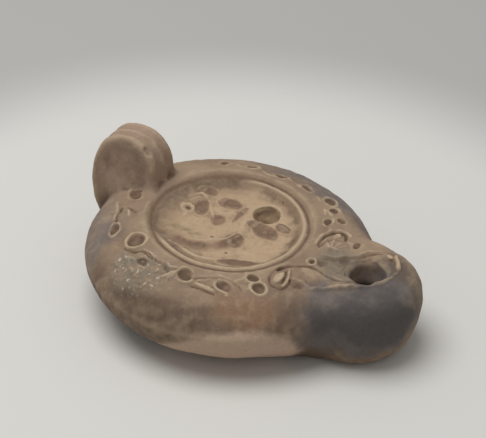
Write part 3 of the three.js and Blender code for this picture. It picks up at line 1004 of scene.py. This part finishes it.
# %% Thin out and mark
MOST_TRIANGLES = 190_000
CREST_R, CHANNEL_R = 18.8, 19.8
triangles = 2 * len(clay.data.polygons)
applied(clay, "DECIMATE", ratio=min(1.0, MOST_TRIANGLES / triangles), use_collapse_triangulate=True)
print("triangles:", len(clay.data.polygons))


def mark(mesh, name, values):
    layer = mesh.attributes.new(name, "FLOAT", "POINT")
    layer.data.foreach_set("value", np.asarray(values, np.float32))


points = points_of(clay.data)
x, y, z = points.T
average = neighbour_average(clay.data)
normals = normals_of(clay.data)
proud = ((points - softened(points, average, 30)) * normals).sum(1)
skin = top_skin(points, normals)
_, bare, soil = all_strokes(x, y)
crest = np.exp(-(((np.hypot(x, y) - CREST_R) / 0.7) ** 2)) * (1 - worn_side(np.arctan2(y, x))) * skin
# The channel ring round the disc is marked as soil and also as painted shade, which darkens the worn wall
# towards the handle.
channel_soil_and_shade = np.exp(-(((np.hypot(x, y) - CHANNEL_R) / 0.6) ** 2)) * skin
mark(clay.data, "bare", np.maximum(bare * skin, 0.8 * crest))
mark(clay.data, "soil", np.maximum(soil * skin, 0.6 * channel_soil_and_shade))
mark(clay.data, "proud", np.clip(0.5 + proud, 0, 1))
print("proud, mm:", proud.std().round(3), "bare:", bare.mean().round(3), "soiled:", soil.mean().round(3))

clay.data.transform(Matrix.Scale(MM, 4))
clay.data.shade_smooth()

# %% [markdown]
# ## The colour of the clay
#
# The clay fired to a warm tan, browner where air was short and blue-grey where the flame lay on
# the nozzle. On top of that lie purple-grey ground stains, paler worn ridges, dirt in the low
# places and specks of lime, and painted light: painted shade on the sides and in the hollows,
# a painted highlight on every convex spot, and painted light on the foot and the handle. Each
# is one layer: a colour, and a mask that says where it goes.
# Masks come from noise on the object's own coordinates or from the marks kept on the points,
# so the finish stays on the lamp when it is moved.

# %% Helpers for layered colour
def srgb(red, green, blue):
    """The linear colour that shows as these three values from 0 to 255, all above 10."""
    return tuple(((c / 255 + 0.055) / 1.055) ** 2.4 for c in (red, green, blue)) + (1.0,)


class Layers:
    """A material's nodes, and the colour that they have built up so far."""

    def __init__(self, material, first):
        self.colour = first
        self.tree = material.node_tree
        self.tree.nodes.clear()
        self.place = self.tree.nodes.new("ShaderNodeTexCoord").outputs["Object"]

    def node(self, kind, **inputs):
        made = self.tree.nodes.new(kind)
        for name, value in inputs.items():
            self.put(made.inputs[name.replace("_", " ")], value)
        return made

    def put(self, socket, value):
        if isinstance(value, bpy.types.NodeSocket):
            self.tree.links.new(value, socket)
        else:
            socket.default_value = value

    def noise(self, size_mm, low, high, detail=4.0, shift=0.0, rough=0.55):
        """A noise of one grain size, cut to 0 below low and 1 above high."""
        moved = self.node("ShaderNodeMapping", Vector=self.place)
        moved.inputs["Location"].default_value = (shift, shift * 0.7, -shift)
        made = self.node("ShaderNodeTexNoise", Vector=moved.outputs["Vector"])
        made.inputs["Scale"].default_value = 1 / (size_mm * MM)
        made.inputs["Detail"].default_value = detail
        made.inputs["Roughness"].default_value = rough
        return self.ramp(made.outputs["Fac"], low, high)

    def ramp(self, value, low, high, to_low=0.0, to_high=1.0):
        made = self.node("ShaderNodeMapRange", Value=value)
        made.interpolation_type = "SMOOTHSTEP"
        limits = {"From Min": low, "From Max": high, "To Min": to_low, "To Max": to_high}
        for name, number in limits.items():
            made.inputs[name].default_value = number
        return made.outputs["Result"]

    def patch(self, centre, reach, stray=0.25, stray_mm=9, edge=0.35):
        """1 inside a soft, uneven egg about a place, given in mm."""
        away = self.node("ShaderNodeVectorMath", Vector=self.place)
        away.operation = "SUBTRACT"
        away.inputs[1].default_value = [c * MM for c in centre]
        scaled = self.node("ShaderNodeVectorMath", Vector=away.outputs["Vector"])
        scaled.operation = "DIVIDE"
        scaled.inputs[1].default_value = [r * MM for r in reach]
        length = self.node("ShaderNodeVectorMath", Vector=scaled.outputs["Vector"])
        length.operation = "LENGTH"
        uneven = self.noise(stray_mm, 0.2, 0.8, detail=5, shift=centre[0] * 0.013)
        distance = self.maths("ADD", length.outputs["Value"], self.maths("MULTIPLY", uneven, stray * 2))
        return self.ramp(distance, 1 + stray - edge, 1 + stray + edge, 1.0, 0.0)

    def maths(self, operation, a, b):
        made = self.tree.nodes.new("ShaderNodeMath")
        made.operation = operation
        self.put(made.inputs[0], a)
        self.put(made.inputs[1], b)
        return made.outputs["Value"]

    def both(self, first, second):
        return self.maths("MULTIPLY", first, second)

    def mark(self, name, low, high):
        made = self.tree.nodes.new("ShaderNodeAttribute")
        made.attribute_name = name
        return self.ramp(made.outputs["Fac"], low, high)

    def lay(self, colour, mask):
        """Lays one more colour over what is there, as far as the mask lets it show."""
        made = self.tree.nodes.new("ShaderNodeMix")
        made.data_type = "RGBA"
        self.put(made.inputs["Factor"], mask)
        self.put(made.inputs[6], self.colour)
        self.put(made.inputs[7], colour)
        self.colour = made.outputs[2]


# %% [markdown]
# ## The palette and the layers
#
# All colours are named once. The layers then run from the body colour outwards: firing colours,
# painted shade on the sides, painted bounce light on the foot, ground stains, painted light on
# the handle, slip and soil in the low places with painted shade in the hollows, rubbed ridges
# with a painted highlight on convex spots, smoke, crust, and last specks.

# %% Colours of the fired clay
TAN = srgb(160, 137, 114)
BROWN = srgb(136, 114, 94)
FLOOR_TAN = srgb(186, 160, 130)
# Pale clay for rubbed ridges, also used as a painted highlight on every convex spot.
RUBBED_AND_HIGHLIT_RIDGE = srgb(190, 168, 140)
# Soil brown; also used as painted shade in hollows and creases.
SOIL_AND_SHADE = srgb(92, 74, 58)
SLIP = srgb(126, 101, 82)
# Browner clay that also carries painted shade for the sides, which face away from the light.
FLANK_BROWN_AND_SHADE = srgb(108, 89, 74)
# Painted shade for a band along the near upper flank.
PAINTED_SHADE_BAND = srgb(92, 75, 62)
STAIN = srgb(118, 108, 103)
SMOKE = srgb(84, 80, 79)
SMOKE_EDGE = srgb(106, 100, 99)
ORANGE = srgb(138, 108, 84)
# Painted light: the low front of the foot made paler in place of light thrown up by the floor.
FOOT_BOUNCE_LIGHT = srgb(188, 160, 140)
# A paler, mottled handle colour: partly the handle's own tone, partly painted light on it.
HANDLE_TONE_AND_LIGHT = srgb(164, 140, 121)
LIP_BROWN = srgb(101, 88, 78)
LIME = srgb(196, 184, 166)
CRUST_GREY = srgb(128, 118, 103)
MOSS = srgb(138, 124, 92)
print("body colour, linear:", [round(c, 3) for c in TAN[:3]])

# %% The layers, from the body colour outwards
paint = Layers(clay_material, TAN)
paint.lay(BROWN, paint.noise(12, 0.3, 0.75, detail=7))
# Painted shade over a browner clay: the lower sides all round are darkened.
paint.lay(FLANK_BROWN_AND_SHADE, paint.patch((3, -4, 8), (54, 46, 12.5), 0.1, 14, 0.15))
# Painted shade, mottled by noise, in a band along the near upper flank.
painted_shade_band = paint.patch((6, -33, 16.5), (26, 8, 2.4), 0.2, 9)
paint.lay(PAINTED_SHADE_BAND, paint.both(painted_shade_band, paint.noise(18, 0.2, 0.6, shift=3)))
paint.lay(ORANGE, paint.patch((19, -26, 18), (9, 6, 2.6), 0.35, 6, 0.5))
# Painted light on the foot's near front, standing in for the floor's bounce light.
paint.lay(FOOT_BOUNCE_LIGHT, paint.patch((17, -29, 4.5), (20, 15, 10.4), 0.12, 12, 0.1))
paint.lay(FLOOR_TAN, paint.patch((2, 0, 18.6), (20, 20, 3.6), 0.15, edge=0.3))
stains = paint.patch((-30, -17, 14), (10, 16, 9), 0.35)
paint.lay(STAIN, paint.both(stains, paint.noise(12, 0.2, 0.7, shift=5)))
far_stains = paint.patch((18, 31, 14), (30, 11, 10), 0.3)
paint.lay(STAIN, paint.both(far_stains, paint.noise(12, 0.0, 0.35, shift=6)))
# Painted light with a mottle: the whole handle is made a little paler.
handle_tone_and_light = paint.patch((-30, 4.8, 30), (14, 9, 10), 0.3)
paint.lay(HANDLE_TONE_AND_LIGHT, paint.both(handle_tone_and_light, paint.noise(9, 0.1, 0.6, shift=7)))
paint.lay(LIP_BROWN, paint.patch((48, 0, 18), (12, 12, 9), 0.3, 6, 0.4))
paint.lay(SLIP, paint.both(paint.mark("soil", 0.1, 0.7), paint.noise(5, 0.05, 0.45, shift=8)))
paint.lay(SOIL_AND_SHADE, paint.both(paint.mark("soil", 0.55, 1.0), 0.5))
# Painted shade and soil: darker wherever the skin lies below its surroundings.
paint.lay(SOIL_AND_SHADE, paint.both(paint.mark("proud", 0.46, 0.2), 0.7))
bare_now = paint.both(paint.mark("bare", 0.15, 0.9), paint.noise(4, 0.0, 0.5, shift=12))
paint.lay(RUBBED_AND_HIGHLIT_RIDGE, bare_now)
# Wear and painted highlight: paler wherever the skin stands proud.
paint.lay(RUBBED_AND_HIGHLIT_RIDGE, paint.both(paint.mark("proud", 0.54, 0.8), 0.42))
smoke_wide = paint.patch((44, -12.5, 14.5), (16, 15, 9.6), 0.3, 7, 0.25)
paint.lay(SMOKE_EDGE, paint.both(smoke_wide, 0.85))
smoke_core = paint.patch((45, -12.5, 15), (12.5, 13, 7.6), 0.4, 6, 0.3)
paint.lay(SMOKE, paint.both(smoke_core, 0.9))
paint.lay(LIP_BROWN, paint.both(smoke_core, paint.noise(1.8, 0.6, 0.8, shift=30)))
crust_place = paint.patch((-10, -27.5, 20), (9, 5, 4), 0.3)
paint.lay(CRUST_GREY, paint.both(crust_place, paint.noise(2.5, 0.3, 0.7, shift=19)))
moss_place = paint.patch((-9, -6, 19), (6, 3.5, 3), 0.4)
paint.lay(MOSS, paint.both(moss_place, paint.noise(2.5, 0.4, 0.8, shift=20)))
channel_place = paint.patch((32.5, -0.5, 21.4), (7.5, 5.5, 2.4), 0.2, 4)
paint.lay(CRUST_GREY, paint.both(channel_place, 0.7))
some_places = paint.noise(16, 0.4, 0.8, shift=23)
paint.lay(SOIL_AND_SHADE, paint.both(paint.noise(1.6, 0.6, 0.8, shift=22), some_places))
paint.lay(LIME, paint.both(crust_place, paint.noise(1.2, 0.56, 0.68, shift=13)))
other_places = paint.noise(14, 0.45, 0.7, shift=15)
paint.lay(LIME, paint.both(paint.noise(0.8, 0.66, 0.74, shift=14), other_places))
grain = paint.noise(0.8, 0.2, 0.8, detail=5, shift=16)
paint.lay(SOIL_AND_SHADE, paint.both(grain, 0.14))
print("nodes in the clay's finish:", len(clay_material.node_tree.nodes))

# %% [markdown]
# ## Surface of the clay
#
# Unglazed clay is matt, with a grain too fine to model: two bumps, one of sand and one of the
# skin's uneven wear.

# %% Surface of the clay
shader = paint.node("ShaderNodeBsdfPrincipled", Base_Color=paint.colour)
shader.inputs["Specular IOR Level"].default_value = 0.32
paint.put(shader.inputs["Roughness"], paint.ramp(grain, 0.0, 1.0, 0.72, 0.9))
fine_bump = paint.node("ShaderNodeBump", Height=paint.noise(0.7, 0.1, 0.9, detail=6, rough=0.65, shift=17))
fine_bump.inputs["Strength"].default_value = 0.28
fine_bump.inputs["Distance"].default_value = 0.25 * MM
broad_grain = paint.noise(4, 0.1, 0.9, detail=5, shift=18)
broad_bump = paint.node("ShaderNodeBump", Height=broad_grain, Normal=fine_bump.outputs["Normal"])
broad_bump.inputs["Strength"].default_value = 0.35
broad_bump.inputs["Distance"].default_value = 0.3 * MM
paint.put(shader.inputs["Normal"], broad_bump.outputs["Normal"])
paint.node("ShaderNodeOutputMaterial", Surface=shader.outputs["BSDF"])
print("bumps, m deep:", [bump.inputs["Distance"].default_value for bump in (fine_bump, broad_bump)])

# %% [markdown]
# ## Hand over the piece
#
# The finished clay takes the solid's place in the frame, and rides on its one body.

# %% The finished piece
lamp = clay
lamp.name = "lamp_fired_clay"
lamp.data.materials.clear()
lamp.data.materials.append(clay_material)
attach(lamp, "root")
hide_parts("lamp")
print("piece:", lamp.name, len(lamp.data.polygons), "triangles")

# %% [markdown]
# ## Studio
#
# A plain pale floor, painted darker with distance as painted shade where the light falls off,
# one broad soft light overhead, a little towards the handle, and a weak even light from
# everywhere. Small finds are lit like this, so that the relief casts soft shadows and no
# highlight burns out.

# %% Floor
NEAR_FLOOR, FAR_FLOOR_SHADE = (0.69, 0.68, 0.65, 1), (0.46, 0.455, 0.44, 1)
DARKER_FROM_TO = (0.085, 0.13)
bpy.ops.mesh.primitive_plane_add(size=6, location=(0, 0, 0))
floor = bpy.context.active_object
floor.name = "floor"
floor_material = bpy.data.materials.new("pale_floor")
floor_material.use_nodes = True
floor_paint = Layers(floor_material, NEAR_FLOOR)
reach = floor_paint.node("ShaderNodeVectorMath", Vector=floor_paint.place)
reach.operation = "LENGTH"
# Painted shade: the floor's colour darkens with distance from the lamp.
floor_paint.lay(FAR_FLOOR_SHADE, floor_paint.ramp(reach.outputs["Value"], *DARKER_FROM_TO))
floor_shader = floor_paint.node("ShaderNodeBsdfPrincipled", Base_Color=floor_paint.colour)
floor_shader.inputs["Roughness"].default_value = 0.9
floor_shader.inputs["Specular IOR Level"].default_value = 0.1
floor_paint.node("ShaderNodeOutputMaterial", Surface=floor_shader.outputs["BSDF"])
floor.data.materials.append(floor_material)
print("floor:", tuple(round(side, 1) for side in floor.dimensions[:2]), "m")


# %% Lights
def soft_light(name, place, aim, size, power):
    data = bpy.data.lights.new(name, "AREA")
    data.shape, data.size, data.energy = "DISK", size, power
    made = bpy.data.objects.new(name, data)
    made.location = place
    made.rotation_euler = (Vector(aim) - Vector(place)).to_track_quat("-Z", "Y").to_euler()
    bpy.context.scene.collection.objects.link(made)
    return made


overhead = soft_light("overhead", place=(-0.16, -0.06, 0.68), aim=(0, 0, 0), size=0.55, power=3.4)
world = bpy.data.worlds.new("soft_room")
world.use_nodes = True
world.node_tree.nodes["Background"].inputs["Color"].default_value = (1.0, 0.99, 0.975, 1)
world.node_tree.nodes["Background"].inputs["Strength"].default_value = 0.37
bpy.context.scene.world = world
bpy.context.scene.view_settings.view_transform = "Standard"
print("light:", overhead.name, overhead.data.energy, "W")

# %% [markdown]
# ## Camera
#
# A long lens from just under half a metre, looking down on the lamp from the nozzle's near side.
# The camera is placed by two angles in degrees, a small roll, and the point it holds in view.

# %% Camera
AZIMUTH, ELEVATION, ROLL = 27.7, 35.68, 1.5
DISTANCE, LENS, SENSOR = 0.450, 133.33, 36
AIM = Vector((0, 0, 0.023))
ASIDE, ABOVE = 0.00326, -0.0001


def camera_axes(azimuth, elevation, roll):
    az, el, ro = map(math.radians, (azimuth, elevation, roll))
    back = Vector((math.sin(az) * math.cos(el), -math.cos(az) * math.cos(el), math.sin(el)))
    right = Vector((math.cos(az), math.sin(az), 0))
    up = back.cross(right)
    return math.cos(ro) * right + math.sin(ro) * up, math.cos(ro) * up - math.sin(ro) * right, back


right, up, back = camera_axes(AZIMUTH, ELEVATION, ROLL)
camera_data = bpy.data.cameras.new("camera")
camera_data.lens = LENS
camera_data.sensor_width = SENSOR
camera = bpy.data.objects.new("camera", camera_data)
bpy.context.scene.collection.objects.link(camera)
stand = AIM + back * DISTANCE + right * ASIDE + up * ABOVE
axes = Matrix((right, up, back)).transposed().to_4x4()
camera.matrix_world = Matrix.Translation(stand) @ axes
bpy.context.scene.camera = camera
print("camera at, m:", [round(v, 3) for v in stand])
